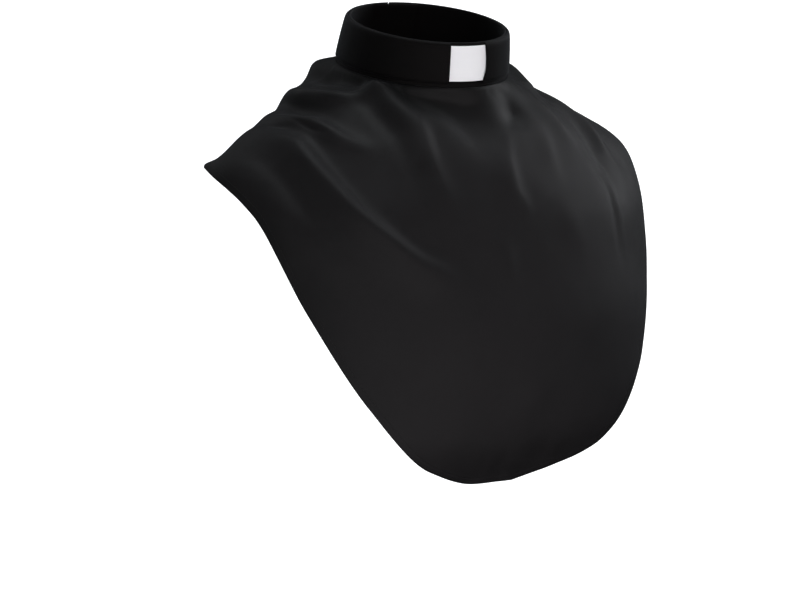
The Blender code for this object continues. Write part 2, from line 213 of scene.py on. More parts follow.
# name, height (a valley is below 0), half width towards the wearer's right and left,
# crispness, strength at start and end, path of (heading, share of the way to the hem)
FOLDS = (
    ("breast_ridge_right", 5.4, 9.0, 14.0, 0.0, 0.8, 0.0,
     ((-58, 0.02), (-49, 0.05), (-42, 0.075), (-36, 0.11), (-31, 0.17), (-24, 0.26), (-14, 0.37))),
    ("neck_valley_right", -2.6, 20.0, 7.0, 0.0, 0.6, 0.0,
     ((-70, 0.08), (-58, 0.08), (-49, 0.11), (-42, 0.15), (-36, 0.21), (-30, 0.30))),
    ("collar_ridge_right", 6.0, 6.0, 7.0, 0.1, 0.0, 0.5,
     ((-134, 0.50), (-116, 0.38), (-97, 0.30), (-76, 0.18), (-66, 0.10), (-57, 0.03))),
    ("collar_dent_right", -6.5, 9.0, 7.0, 0.0, 0.2, 0.5,
     ((-126, 0.22), (-108, 0.15), (-90, 0.08), (-72, 0.03))),
    ("shoulder_valley_right", -7.0, 7.0, 9.0, 0.0, 0.0, 0.0,
     ((-128, 0.60), (-110, 0.46), (-94, 0.37), (-77, 0.28), (-62, 0.21))),
    ("shoulder_ridge_right", 6.0, 6.0, 9.0, 0.1, 0.0, 0.0,
     ((-122, 0.72), (-98, 0.54), (-86, 0.45), (-76, 0.36), (-64, 0.28), (-54, 0.24), (-45, 0.21))),
    ("shoulder_crease_upper", -1.5, 1.6, 1.9, 0.5, 0.0, 0.0,
     ((-89, 0.48), (-80, 0.41), (-73, 0.37), (-67, 0.31), (-60, 0.26))),
    ("shoulder_crease_lower", -1.2, 1.6, 1.9, 0.5, 0.0, 0.0,
     ((-92, 0.57), (-85, 0.50), (-78, 0.43))),
    ("long_ridge_right", 8.2, 7.5, 16.0, 0.2, 0.4, 0.0,
     ((-93, 0.63), (-80, 0.53), (-71, 0.47), (-59, 0.44), (-43, 0.445), (-25, 0.465), (-9, 0.51))),
    ("long_valley_right", -3.0, 25.0, 11.0, 0.0, 0.4, 0.0,
     ((-88, 0.68), (-77, 0.62), (-66, 0.575), (-55, 0.545), (-40, 0.53))),
    ("arm_ridge_right", 2.0, 13.0, 15.0, 0.0, 0.4, 0.0,
     ((-90, 0.96), (-79, 0.93), (-71, 0.85), (-64, 0.78), (-54, 0.71), (-44, 0.68))),
    ("throat_valley", -5.6, 18.0, 11.0, 0.0, 0.8, 0.0,
     ((-34, 0.02), (-20, 0.035), (-9, 0.07), (-3, 0.13), (0, 0.21))),
    ("throat_crease", -0.8, 2.5, 3.0, 0.5, 0.4, 0.0,
     ((-24, 0.01), (-14, 0.02), (-4, 0.04), (8, 0.04), (18, 0.04))),
    ("throat_ridge", 0.7, 7.0, 8.0, 0.0, 0.4, 0.5,
     ((26, 0.03), (19, 0.07), (12, 0.12))),
    ("breast_ridge_centre", 2.4, 7.0, 13.0, 0.0, 0.1, 0.0,
     ((11, 0.09), (10, 0.13), (7, 0.19), (6, 0.25), (9, 0.31), (9, 0.38))),
    ("lower_ridge_centre", 1.0, 7.0, 11.0, 0.0, 0.0, 0.0,
     ((-2, 0.34), (-1, 0.42), (1, 0.53))),
    ("collar_dent_left", -3.8, 10.0, 14.0, 0.0, 0.6, 0.0,
     ((28, 0.04), (26, 0.08), (25, 0.13))),
    ("neck_ridge_left", 2.4, 7.0, 10.0, 0.0, 0.2, 0.0,
     ((53, 0.04), (50, 0.08), (49, 0.14), (47, 0.21), (43, 0.29))),
    ("breast_ridge_left", 0.9, 6.0, 9.0, 0.0, 0.0, 0.0,
     ((37, 0.11), (34, 0.16), (31, 0.21), (29, 0.28))),
    ("side_ridge_left", 0.9, 10.0, 11.0, 0.0, 0.0, 0.0,
     ((27, 0.29), (28, 0.38), (31, 0.53))),
    ("arm_crease_left", -1.0, 5.0, 3.0, 0.0, 0.0, 0.0,
     ((50, 0.21), (50, 0.30), (50, 0.38), (47, 0.46), (45, 0.59), (45, 0.72))),
    ("arm_edge_left", 0.8, 3.0, 6.0, 0.0, 0.0, 0.0,
     ((53, 0.21), (53, 0.30), (53, 0.38), (50, 0.46), (48, 0.59), (48, 0.72))),
    ("arm_valley_left", -2.6, 9.0, 7.0, 0.0, 0.0, 0.0,
     ((68, 0.15), (62, 0.22), (58, 0.28), (55, 0.35), (53, 0.43), (51, 0.52))),
    ("arm_ridge_left", 3.4, 4.5, 6.0, 0.3, 0.2, 0.2,
     ((76, 0.15), (71, 0.22), (67, 0.29), (64, 0.35), (62, 0.41), (62, 0.49))),
    ("collar_ridge_left", 6.0, 9.0, 9.0, 0.0, 0.5, 0.5,
     ((100, 0.05), (82, 0.05), (66, 0.07))),
    ("shoulder_dent_left", -2.5, 8.0, 8.0, 0.0, 0.6, 0.0,
     ((80, 0.15), (58, 0.14))),
    ("shoulder_ridge_left", 1.2, 9.0, 9.0, 0.0, 0.5, 0.0,
     ((108, 0.50), (80, 0.34), (64, 0.22))),
    ("neck_ridge_right", 6.0, 8.5, 8.5, 0.0, 0.7, 0.3,
     ((-150, 0.07), (-134, 0.08), (-122, 0.11), (-108, 0.14))),
    ("shoulder_drop_right", -4.0, 13.0, 13.0, 0.0, 0.7, 0.3,
     ((-108, 0.78), (-100, 0.92), (-92, 1.0))),
    ("shoulder_tip_right", 5.0, 6.0, 6.0, 1.0, 1.0, 1.0,
     ((-95.5, 1.0), (-94.5, 1.0), (-93.5, 1.0))),
    ("belly_swell", 1.6, 22.0, 22.0, 0.0, 0.0, 0.0,
     ((-5, 0.68), (3, 0.77), (9, 0.85))),
    ("hem_dent_front", -0.6, 11.0, 11.0, 0.0, 0.0, 0.0,
     ((0, 0.95), (14, 0.93))),
    ("hem_dent_middle", -0.5, 12.0, 12.0, 0.0, 0.0, 0.0,
     ((-11, 0.96), (-2, 0.96))),
    ("back_ridge_right", 3.0, 13.0, 13.0, 0.0, 0.3, 0.8,
     ((-146, 0.15), (-150, 0.55), (-147, 1.0))),
    ("back_ridge_left", 3.0, 13.0, 13.0, 0.0, 0.3, 0.8,
     ((142, 0.15), (148, 0.55), (145, 1.0))),
    ("back_valley_right", -1.6, 10.0, 10.0, 0.1, 0.2, 0.6,
     ((-163, 0.18), (-162, 0.60), (-160, 1.0))),
    ("back_valley_left", -1.6, 10.0, 10.0, 0.1, 0.2, 0.6,
     ((160, 0.18), (163, 0.60), (161, 1.0))),
    ("blade_crease_right", -1.3, 5.0, 7.0, 0.4, 0.0, 0.0,
     ((-116, 0.30), (-128, 0.55), (-134, 0.85))),
    ("blade_crease_left", -1.3, 7.0, 5.0, 0.4, 0.0, 0.0,
     ((114, 0.28), (126, 0.52), (133, 0.84))),
)

# A fold's path in steps, its reach in widths, and how its two sides and its crisp top are shaped
FOLD_STEPS = 48
FOLD_REACH = 3.2
FOLD_BLEND = 6.0
FOLD_RIM = 0.3
FOLD_FALL = 0.7
OUTWARD_RISE = (0.0, 0.0, 60.0)

# Painted shade on the cape cloth, by distance from the seam (shade under the collar and the left-out head)
# and from the pressed edge (the edge's own shadowed thickness): from, to, tone at each
SEAM_SHADE = (0.0, 44.0, 0.30, 1.0)
EDGE_SHADE = (0.2, 1.4, 0.45, 1.0)

# The two colours that each material runs between, the cloth's sheen and the tab's roughness
CAPE_COLOURS = ((0.0061, 0.0056, 0.0060), (0.0092, 0.0085, 0.0091))
# The collar's colours, darker and warmer than the cape's, are painted shade of the left-out head and chin
# over the collar cloth's own matte black
COLLAR_COLOURS = ((0.0012, 0.0008, 0.0008), (0.0024, 0.0018, 0.0018))
TAB_COLOURS = ((0.88, 0.89, 0.90), (0.91, 0.92, 0.93))
THREAD_COLOURS = ((0.0050, 0.0047, 0.0050), (0.0090, 0.0085, 0.0090))
PILE_COLOURS = ((0.016, 0.016, 0.017), (0.006, 0.006, 0.006))
SHEEN_COLOUR = (0.86, 0.93, 1.0, 1.0)
TAB_ROUGHNESS = (0.36, 0.44)

# Weave: thread pitches in metres, a wave texture's period at scale 1, and what makes up its tone
CAPE_PITCH = 0.00040
COLLAR_PITCH = 0.00034
WAVE_PERIOD = 0.314159
CLOUD_SHARE = 0.7
SLUB_SHARE = 0.3
WEAVE_SHARE = 0.8
SLUB_GRAIN = 0.25
TONE_RANGE = (0.3, 0.75)
CLOUD_RANGE = (0.3, 0.7)
ROUGHNESS_SPREAD = 0.04

# A Mix node's colour sockets
MIX_DARK = 6
MIX_LIGHT = 7
MIX_RESULT = 2

# Studio, in metres: floor, then each light's name, strength, spread, direction towards it, colour
FLOOR_HALF = 60.0
FLOOR_LEVEL = -1.35
WHITE = (1.0, 1.0, 1.0, 1.0)
LIGHTS = (
    ("key", 1.30, 35.0, (0.92, -0.06, 0.42), (0.95, 0.97, 1.0)),
    ("top", 1.70, 45.0, (0.15, 0.00, 0.95), (0.93, 0.98, 1.0)),
    ("front", 3.20, 80.0, (0.00, -1.00, -0.25), (1.0, 0.95, 0.98)),
    ("left", 0.95, 90.0, (-0.85, -0.50, -0.10), (0.93, 1.0, 1.0)),
    ("back", 0.30, 60.0, (-0.40, 0.75, 0.50), (0.97, 0.98, 1.0)),
)
CAMERA_PLACE = (-0.8121, -1.3746, 0.1051)
CAMERA_TILT = 80.0
CAMERA_TURN = -30.0
CAMERA_LENS = 96.4


def smooth(rows, column, at):
    """Monotone cubic curve through one column of a table, whose first column is the key."""
    table = np.array(rows)
    keys = table[:, 0]
    values = table[:, column]
    steps = np.diff(keys)
    rises = np.diff(values) / steps
    slopes = np.concatenate(([rises[0]], np.zeros(len(keys) - 2), [rises[-1]]))
    for i in range(1, len(keys) - 1):
        if rises[i - 1] * rises[i] > 0.0:
            near = 2.0 * steps[i] + steps[i - 1]
            far = steps[i] + 2.0 * steps[i - 1]
            slopes[i] = (near + far) / (near / rises[i - 1] + far / rises[i])
    at = np.clip(at, keys[0], keys[-1])
    i = np.clip(np.searchsorted(keys, at, side="right") - 1, 0, len(steps) - 1)
    t = (at - keys[i]) / steps[i]
    start = values[i] * (1.0 + 2.0 * t) + slopes[i] * steps[i] * t
    end = values[i + 1] * (3.0 - 2.0 * t) - slopes[i + 1] * steps[i] * (1.0 - t)
    return start * (1.0 - t) ** 2 + end * t ** 2


def ease(t):
    """Smooth step from 0 to 1."""
    t = np.clip(t, 0.0, 1.0)
    return t * t * (3.0 - 2.0 * t)


def lap_share(heading):
    """How far the cloth has stepped inwards to pass under the other end at the centre back."""
    return ease((-180.0 + LAP_RAMP - heading) / LAP_RAMP)


def wrapped(heading):
    """The same compass heading between -180 and 180."""
    return np.where(heading < -180.0, heading + 360.0, heading)


def collar_point(heading, rise, depth):
    """A point of the collar: rise above the seam, depth inwards from the leaf's outer face."""
    share = rise / BAND_HEIGHT
    half_width = SEAM_HALF_WIDTH + (TOP_HALF_WIDTH - SEAM_HALF_WIDTH) * share - depth
    half_depth = SEAM_HALF_DEPTH + (TOP_HALF_DEPTH - SEAM_HALF_DEPTH) * share - depth
    tilt = SEAM_TILT + (TOP_TILT - SEAM_TILT) * share
    angle = math.radians(heading)
    back = -half_depth * math.cos(angle)
    return (
        half_width * math.sin(angle),
        back * math.cos(tilt) - BAND_LEAN * share,
        back * math.sin(tilt) + rise,
    )


def section(column, level):
    """One column of the cape's sections, softened a little way up and down below the seam."""
    step = np.minimum(0.5 * level, SOFTENING)
    return sum(weight * smooth(SECTIONS, column, level + offset * step)
               for offset, weight in SOFTENING_WEIGHTS)


def cape_points(heading, share, stepped=True):
    """Points of the smooth cape before its folds, for arrays of heading and share."""
    angle = np.radians(heading)
    sine = np.abs(np.sin(angle))
    cosine = np.cos(angle)
    step = LAP_STEP * lap_share(heading) if stepped else 0.0

    def radius(level):
        half_width = section(1, level)
        half_depth = np.where(cosine > 0.0, section(2, level), section(3, level))
        power = section(4, level)
        return ((sine / half_width) ** power + (np.abs(cosine) / half_depth) ** power) ** (-1.0 / power)

    seam = -(radius(np.zeros_like(share)) - step) * cosine * math.tan(SEAM_TILT)
    side = wrapped(heading)
    hem = np.where(side < 0.0, smooth(HEM, 1, np.abs(side)), smooth(HEM, 2, np.abs(side)))
    height = seam + (hem - seam) * share
    below = seam - height
    level = seam * np.exp(-below / TILT_FADE) - height
    reach = radius(np.maximum(level, 0.0)) - step
    lean = smooth(SECTIONS, 5, level)
    return np.stack((
        reach * np.sin(angle) + lean,
        -reach * cosine,
        height - PIECE_GAP,
    ), axis=-1)


def unit(vectors):
    """The vectors at length 1."""
    return vectors / np.linalg.norm(vectors, axis=-1, keepdims=True)


def grid_normals(points):
    """Outward normals of a grid of points, rows running down and columns to the wearer's left."""
    return unit(np.cross(np.gradient(points, axis=0), np.gradient(points, axis=1)))


def fold_lift(points, fold):
    """How far one fold lifts each point off the smooth cape."""
    _, height, to_right, to_left, crisp, start, end, stops = fold
    keys = np.linspace(0.0, 1.0, len(stops))
    rows = [(key, heading, share) for key, (heading, share) in zip(keys, stops)]
    along = np.linspace(0.0, 1.0, FOLD_STEPS)
    path = cape_points(smooth(rows, 1, along), smooth(rows, 2, along), stepped=False)
    lift = np.zeros(points.shape[:-1])
    reach = FOLD_REACH * max(to_right, to_left)
    low = path.min(axis=0) - reach
    high = path.max(axis=0) + reach
    near = np.all((points > low) & (points < high), axis=-1)
    if not near.any():
        return lift
    some = points[near]
    best = np.full(len(some), np.inf)
    side = np.zeros(len(some))
    place = np.zeros(len(some))
    for i in range(FOLD_STEPS - 1):
        run = path[i + 1] - path[i]
        offset = some - path[i]
        t = np.clip(offset @ run / (run @ run), 0.0, 1.0)
        apart = offset - t[:, None] * run
        distance = np.linalg.norm(apart, axis=1)
        closer = distance < best
        best[closer] = distance[closer]
        outward = path[i] * (1.0, 1.0, 0.0) + OUTWARD_RISE
        left = np.cross(run, outward)
        side[closer] = (apart @ left)[closer]
        place[closer] = (i + t[closer]) / (FOLD_STEPS - 1)
    turn = ease(0.5 + side / (np.abs(side).max() + TINY) * FOLD_BLEND)
    width = to_right + (to_left - to_right) * turn
    round_top = np.exp(-((best / width) ** 2))
    rim = FOLD_RIM * width
    sharp_top = np.exp(-(np.sqrt(best ** 2 + rim ** 2) - rim) / (FOLD_FALL * width))
    strength = np.where(
        place < 0.5,
        start + (1.0 - start) * ease(2.0 * place),
        end + (1.0 - end) * ease(2.0 - 2.0 * place),
    )
    lift[near] = height * strength * ((1.0 - crisp) * round_top + crisp * sharp_top)
    return lift


def ripple(points, scale, seed):
    """Smooth noise between -1 and 1 at each point."""
    flat = points.reshape(-1, 3) / scale + seed
    values = np.array([noise.noise(Vector(p)) for p in flat])
    return values.reshape(points.shape[:-1])


def cape_headings():
    """Headings of the cape's columns, without the lapped end."""
    return np.concatenate((
        np.linspace(-180.0, -FRONT_REACH, BACK_COLUMNS + 1)[:-1],
        np.linspace(-FRONT_REACH, FRONT_REACH, FRONT_COLUMNS + 1),
        np.linspace(FRONT_REACH, 180.0, BACK_COLUMNS + 1)[1:],
    ))


def hem_slant(headings):
    """Sine of the angle at which each column meets the hem."""
    hem = cape_points(headings, np.ones_like(headings), stepped=False)
    above = cape_points(headings, np.full_like(headings, HEM_PROBE), stepped=False)
    along = unit(np.gradient(hem, axis=0))
    down = unit(hem - above)
    return np.clip(np.linalg.norm(np.cross(along, down), axis=-1), LEAST_SLANT, 1.0)


def lengths_down(points):
    """Distance of each grid point from the first row, along its column."""
    steps = np.linalg.norm(np.diff(points, axis=0), axis=-1)
    return np.concatenate((np.zeros((1, points.shape[1])), np.cumsum(steps, axis=0)))


def cape_grid():
    """Headings and shares of the cape's grid, with rows close together at the seam and the hem."""
    headings = cape_headings()
    slant = hem_slant(headings)
    coarse = np.linspace(0.0, 1.0, LENGTH_SAMPLES)
    share, heading = np.meshgrid(coarse, headings, indexing="ij")
    runs = lengths_down(cape_points(heading, share, stepped=False))
    middle = np.linspace(0.0, 1.0, MIDDLE_ROWS + 2)[1:-1]
    head = np.array(SEAM_ROWS)
    columns = []
    for i in range(len(headings)):
        tail = runs[-1, i] - np.array(HEM_ROWS) / slant[i]
        between = head[-1] + (tail[0] - head[-1]) * middle
        columns.append(np.interp(np.concatenate((head, between, tail)), runs[:, i], coarse))
    share = np.stack(columns, axis=1)
    heading = np.repeat(headings[None, :], len(share), axis=0)
    back_depth = np.linalg.norm(cape_points(heading[:, :1], share[:, :1])[..., :2], axis=-1)
    lap = np.linspace(1.0, 0.0, LAP_COLUMNS + 1)[:-1] * np.degrees(LAP_WIDTH / back_depth)
    heading = np.concatenate((-180.0 - lap, heading), axis=1)
    share = np.concatenate((np.repeat(share[:, :1], LAP_COLUMNS, axis=1), share), axis=1)
    return heading, share


def distance_to_line(points, line, reach):
    """Distance from each grid point to a line of points, no more than reach."""
    found = np.full(points.shape[:-1], float(reach))
    for i in range(len(line) - 1):
        run = line[i + 1] - line[i]
        offset = points - line[i]
        near = np.abs(offset).max(axis=-1) < reach + SEARCH_MARGIN
        some = offset[near]
        if len(some):
            t = np.clip(some @ run / max(run @ run, TINY), 0.0, 1.0)
            found[near] = np.minimum(found[near], np.linalg.norm(some - t[:, None] * run, axis=1))
    return found


def cape_shell():
    """The cape's outer face, inner face, normals, hem distance and lengths down, as grids."""
    heading, share = cape_grid()
    base = cape_points(heading, share)
    plain = cape_points(wrapped(heading), share, stepped=False)
    run = np.linalg.norm(base - base[:1], axis=-1)
    lift = sum(fold_lift(plain, fold) for fold in FOLDS)
    for height, scale, seed in RIPPLES:
        lift = lift + height * ripple(plain, scale, seed)
    lift = lift * ease(run / SEAM_EASE)
    belt = np.exp(-((run - PUCKER_MIDDLE) / PUCKER_SPREAD) ** 2)
    pucker = PUCKER_HEIGHT * ripple(plain * PUCKER_STRETCH, PUCKER_SIZE, PUCKER_SEED) * belt
    outer = base + grid_normals(base) * (lift + pucker)[..., None]
    normals = grid_normals(outer)
    from_hem = distance_to_line(outer, outer[-1], HEM_SEARCH)
    turned = 1.0 - ease((from_hem - HEM_WIDTH) / HEM_STEP + 0.5)
    groove = np.exp(-(((from_hem - STITCH_INSET) / GROOVE_WIDTH) ** 2))
    outer = outer + normals * (HEM_RELIEF * (turned - groove))[..., None]
    wall = CLOTH_WALL + (HEM_WALL - CLOTH_WALL) * turned
    at_seam = (1.0 - ease(run / SEAM_TURN))[..., None]
    radial = unit(base * (1.0, 1.0, 0.0))
    inner = outer - normals * wall[..., None] * (1.0 - at_seam) - radial * SEAM_WALL * at_seam
    return heading, outer, inner, normals, from_hem, lengths_down(outer)


def flat_pattern(heading, length):
    """Where each grid point lay in the flat cloth, in millimetres."""
    angle = np.radians(heading) * FLAT_TURN
    radius = FLAT_RING + length
    return np.stack((radius * np.sin(angle), -radius * np.cos(angle)), axis=-1)


def make_object(name, vertices, faces, finish, uvs=None, sharp=None):
    """A mesh object from arrays in millimetres, with an optional flat pattern as its UV map."""
    mesh = bpy.data.meshes.new(name)
    mesh.from_pydata((np.asarray(vertices) * MM).tolist(), [], faces)
    mesh.materials.append(finish)
    mesh.shade_smooth()
    if sharp is not None:
        mesh.set_sharp_from_angle(angle=math.radians(sharp))
    if uvs is not None:
        layer = mesh.uv_layers.new(name="cloth")
        corners = np.zeros(len(mesh.loops), dtype=np.int32)
        mesh.loops.foreach_get("vertex_index", corners)
        layer.data.foreach_set("uv", (np.asarray(uvs)[corners] * MM).ravel())
    mesh.update()
    made = bpy.data.objects.new(name, mesh)
    bpy.context.scene.collection.objects.link(made)
    return made


def shell_faces(rows, columns):
    """Faces of a closed cloth: rows run down its outer face and back up its inner face."""
    faces = []
    for r in range(rows):
        for c in range(columns - 1):
            a = r * columns + c
            b = (r + 1) % rows * columns + c
            faces.append((a, b, b + 1, a + 1))
    for r in range(rows // 2):
        a = r * columns
        b = (rows - 1 - r) * columns
        right_end = (a, b, b - columns, a + columns)
        left_end = (a, a + columns, b - columns, b)
        # The pair next to the lip's middle row closes with a triangle
        faces.append(tuple(dict.fromkeys(right_end)))
        faces.append(tuple(dict.fromkeys(corner + columns - 1 for corner in left_end)))
    return faces


def make_cape(finish):
    """The cape as one closed cloth shell with a rounded, turned hem."""
    heading, outer, inner, normals, from_hem, length = cape_shell()
    rows, columns = outer.shape[:2]
    down = unit(outer[-1] - outer[-2])
    lip = [outer[-1] - normals[-1] * inwards + down * below for inwards, below in HEM_LIP]
    vertices = np.concatenate((outer.reshape(-1, 3), *lip, inner[::-1].reshape(-1, 3)))
    faces = shell_faces(2 * rows + len(lip), columns)
    flat = flat_pattern(heading, length)
    hem_flat = np.repeat(flat[-1:], len(lip), axis=0)
    uvs = np.concatenate((flat, hem_flat, flat[::-1])).reshape(-1, 2)
    made = make_object("cape_sheet", vertices, faces, finish, uvs, CAPE_SHARP)
    for label, outside, at_lip in (("from_hem", from_hem, 0.0), ("from_seam", length, length.max())):
        values = np.concatenate((
            outside.ravel(),
            np.full(len(lip) * columns, at_lip),
            outside[::-1].ravel(),
        ))
        layer = made.data.attributes.new(label, "FLOAT", "POINT")
        layer.data.foreach_set("value", values.astype(np.float32))
    return made, outer, normals


def make_stitches(outer, normals, finish):
    """The hem's stitches, one spindle of thread each, in the groove beside the turned edge."""
    row = len(SEAM_ROWS) + MIDDLE_ROWS + HEM_ROWS.index(STITCH_INSET)
    line = outer[row, LAP_COLUMNS:]
    facing = normals[row, LAP_COLUMNS:]
    run = np.concatenate(([0.0], np.cumsum(np.linalg.norm(np.diff(line, axis=0), axis=1))))
    vertices = []
    faces = []
    for begin in np.arange(STITCH_PITCH, run[-1] - STITCH_PITCH, STITCH_PITCH):
        ends = begin + np.array((0.0, STITCH_LENGTH))
        a, b = (np.array([np.interp(at, run, line[:, k]) for k in range(3)]) for at in ends)
        out = unit(np.array([np.interp(ends.mean(), run, facing[:, k]) for k in range(3)]))
        across = unit(np.cross(b - a, out))
        first = len(vertices)
        for along, thickness in STITCH_RINGS:
            centre = a + (b - a) * along + out * THREAD * THREAD_LIFT * thickness
            for corner in range(STITCH_SIDES):
                angle = 2.0 * math.pi * corner / STITCH_SIDES
                arm = across * math.cos(angle) + out * math.sin(angle)
                vertices.append(centre + arm * THREAD * thickness)
        last = first + (len(STITCH_RINGS) - 1) * STITCH_SIDES
        for near in range(first, last, STITCH_SIDES):
            for corner in range(STITCH_SIDES):
                following = (corner + 1) % STITCH_SIDES
                faces.append((near + corner, near + STITCH_SIDES + corner,
                              near + STITCH_SIDES + following, near + following))
        faces.append(tuple(first + corner for corner in range(STITCH_SIDES)))
        faces.append(tuple(last + corner for corner in reversed(range(STITCH_SIDES))))
    return make_object("hem_stitches", vertices, faces, finish)


def round_outline(outline):
    """A closed outline with its corners cut."""
    points = np.array(outline, dtype=float)
    step = np.roll(points, -1, axis=0) - points
    cut = np.stack((points + CORNER_CUT * step, points + (1.0 - CORNER_CUT) * step), axis=1)
    return cut.reshape(-1, 2)


def sweep(name, finish, headings, outline, step=None, start=None, wobble=0.0, inset=END_INSET):
    """A closed solid along the collar from an outline of (rise, depth), with rounded ends."""
    count = len(outline)
    spans = len(headings)
    half = (outline[:, 1].max() - outline[:, 1].min()) / 2.0
    mid_depth = outline[:, 1].mean()
    rings = []
    uvs = []
    for i, heading in enumerate(headings):
        from_end = min(i, spans - 1 - i)
        shrink = inset * (1.0 - min(1.0, from_end / END_COLUMNS)) ** 2
        squeeze = 1.0 - shrink / max(half, LEAST_HALF_WALL) * END_SQUEEZE
        inward = step(heading) if step else 0.0
        ring = []
        for rise, depth in outline:
            at = start(rise, heading) if start else heading
            squeezed = mid_depth + (depth - mid_depth) * squeeze
            wave = wobble * noise.noise(Vector((at * WOBBLE_ALONG, rise * WOBBLE_UP, WOBBLE_SEED)))
            ring.append(collar_point(at, rise, squeezed + inward + wave))
            uvs.append((math.radians(at) * SEAM_HALF_DEPTH, rise))
        rings.append(ring)
    vertices = np.array(rings).reshape(-1, 3)
    faces = []
    for i in range(spans - 1):
        a, b = i * count, (i + 1) * count
        for j in range(count):
            k = (j + 1) % count
            faces.append((a + j, b + j, b + k, a + k))
    first = tuple(range(count))
    last = tuple((spans - 1) * count + j for j in range(count))
    faces.extend(fan(first, True))
    faces.extend(fan(last, False))
    return make_object(name, vertices, faces, finish, np.array(uvs), COLLAR_SHARP)


def fan(ring, flip):
    """Quads across a long thin ring, joined like a zip from end to end."""
    count = len(ring)
    faces = []
    for i in range(count // 2 - 1):
        quad = (ring[i], ring[i + 1], ring[count - 2 - i], ring[count - 1 - i])
        faces.append(quad if flip else quad[::-1])
    return faces


def make_neckband(finish):
    """The standing band, whose right end steps in and laps under its left end."""
    outline = round_outline((
        (0.0, FOOT_OUTER),
        (FOOT_RISE, BAND_OUTER),
        (LOWER_RISE, BAND_OUTER),
        (UPPER_RISE, BAND_OUTER),
        (BAND_HEIGHT - EDGE_ROUND, BAND_OUTER),
        (BAND_HEIGHT, BAND_OUTER + EDGE_ROUND),
        (BAND_HEIGHT, BAND_INNER - EDGE_ROUND),
        (BAND_HEIGHT - EDGE_ROUND, BAND_INNER),
        (UPPER_RISE, BAND_INNER),
        (LOWER_RISE, BAND_INNER),
        (FOOT_RISE, BAND_INNER),
        (0.0, FOOT_OUTER + BAND_WALL),
    ))
    lap_angle = math.degrees(LAP_WIDTH / SEAM_HALF_DEPTH)
    headings = np.linspace(-180.0 - lap_angle, 180.0, BAND_COLUMNS)
    return sweep("neckband_cloth", finish, headings, outline,
                 step=lambda heading: LAP_STEP * float(lap_share(heading)), wobble=BAND_WOBBLE)


def leaf_outline():
    """Section of the leaf: a wall that rolls in at the band's top edge."""
    return round_outline((
        (LEAF_BOTTOM, EDGE_ROUND),
        (LEAF_BOTTOM + EDGE_ROUND, 0.0),
        (LOWER_RISE, -LEAF_BULGE),
        (UPPER_RISE, -LEAF_BULGE),
        *((BAND_HEIGHT - fall, depth) for fall, depth in LIP_OUTSIDE),
        *((BAND_HEIGHT - fall, depth) for fall, depth in LIP_INSIDE),
        (UPPER_RISE, LEAF_WALL - LEAF_BULGE),
        (LOWER_RISE, LEAF_WALL - LEAF_BULGE),
        (LEAF_BOTTOM + EDGE_ROUND, LEAF_WALL),
        (LEAF_BOTTOM, LEAF_WALL - EDGE_ROUND),
    ))


def window_right(_rise):
    """Heading of the right leaf's front end, which is straight."""
    return WINDOW_RIGHT


def window_left(rise):
    """Heading of the left leaf's front end, bowed, with its foot hooked under the tab's corner."""
    share = (rise - LEAF_BOTTOM) / (BAND_HEIGHT - LEAF_BOTTOM)
    bow = WINDOW_BOW * math.sin(math.pi * max(0.0, min(1.0, share)))
    hook = WINDOW_HOOK * (1.0 - float(ease((rise - LEAF_BOTTOM) / WINDOW_HOOK_HEIGHT)))
    return WINDOW_LEFT + bow - hook


def leaf_headings(front_end, back_end):
    """Headings along a leaf, close together at its two ends."""
    close = np.array(LEAF_END_SHARES)
    middle = np.linspace(close[-1], 1.0 - close[-1], LEAF_MIDDLE_COLUMNS + 2)[1:-1]
    shares = np.concatenate((close, middle, 1.0 - close[::-1]))
    return front_end + (back_end - front_end) * shares


def make_leaf(name, finish, front_end, back_end):
    """One half of the outer leaf, from its front end by the tab to the centre back."""
    base_end = front_end(UPPER_RISE)

    def start(rise, heading):
        share = (heading - base_end) / (back_end - base_end)
        own = front_end(rise)
        return own + (back_end - own) * share

    headings = leaf_headings(base_end, back_end)
    return sweep(name, finish, headings, leaf_outline(), start=start, wobble=LEAF_WOBBLE)


def make_tab(finish):
    """The white tab, a curved strip between the band and the leaves."""
    outline = round_outline((
        (TAB_BOTTOM, TAB_OUTER + TAB_EDGE),
        (TAB_BOTTOM + TAB_CORNER, TAB_OUTER),
        (LOWER_RISE, TAB_OUTER),
        (UPPER_RISE, TAB_OUTER),
        (TAB_TOP - TAB_CORNER, TAB_OUTER),
        (TAB_TOP, TAB_OUTER + TAB_EDGE),
        (TAB_TOP, TAB_INNER - TAB_EDGE),
        (TAB_TOP - TAB_CORNER, TAB_INNER),
        (UPPER_RISE, TAB_INNER),
        (LOWER_RISE, TAB_INNER),
        (TAB_BOTTOM + TAB_CORNER, TAB_INNER),
        (TAB_BOTTOM, TAB_INNER - TAB_EDGE),
    ))
    headings = np.linspace(-TAB_HALF_ANGLE, TAB_HALF_ANGLE, TAB_COLUMNS)
    return sweep("tab_strip", finish, headings, outline, inset=THIN_END_INSET)


def make_fastener(finish):
    """The plain hook-and-loop strip between the band's lapped ends."""
    outer = BAND_INNER + PIECE_GAP
    inner = outer + FASTENER_WALL
    rises = (FASTENER_BOTTOM, FASTENER_LOWER, FASTENER_UPPER, FASTENER_TOP)
    outline = round_outline((
        *((rise, outer) for rise in rises),
        *((rise, inner) for rise in reversed(rises)),
    ))
    end = 180.0 - FASTENER_START
    headings = np.linspace(end - FASTENER_LENGTH, end, FASTENER_COLUMNS)
    return sweep("fastener_strip", finish, headings, outline, inset=THIN_END_INSET)


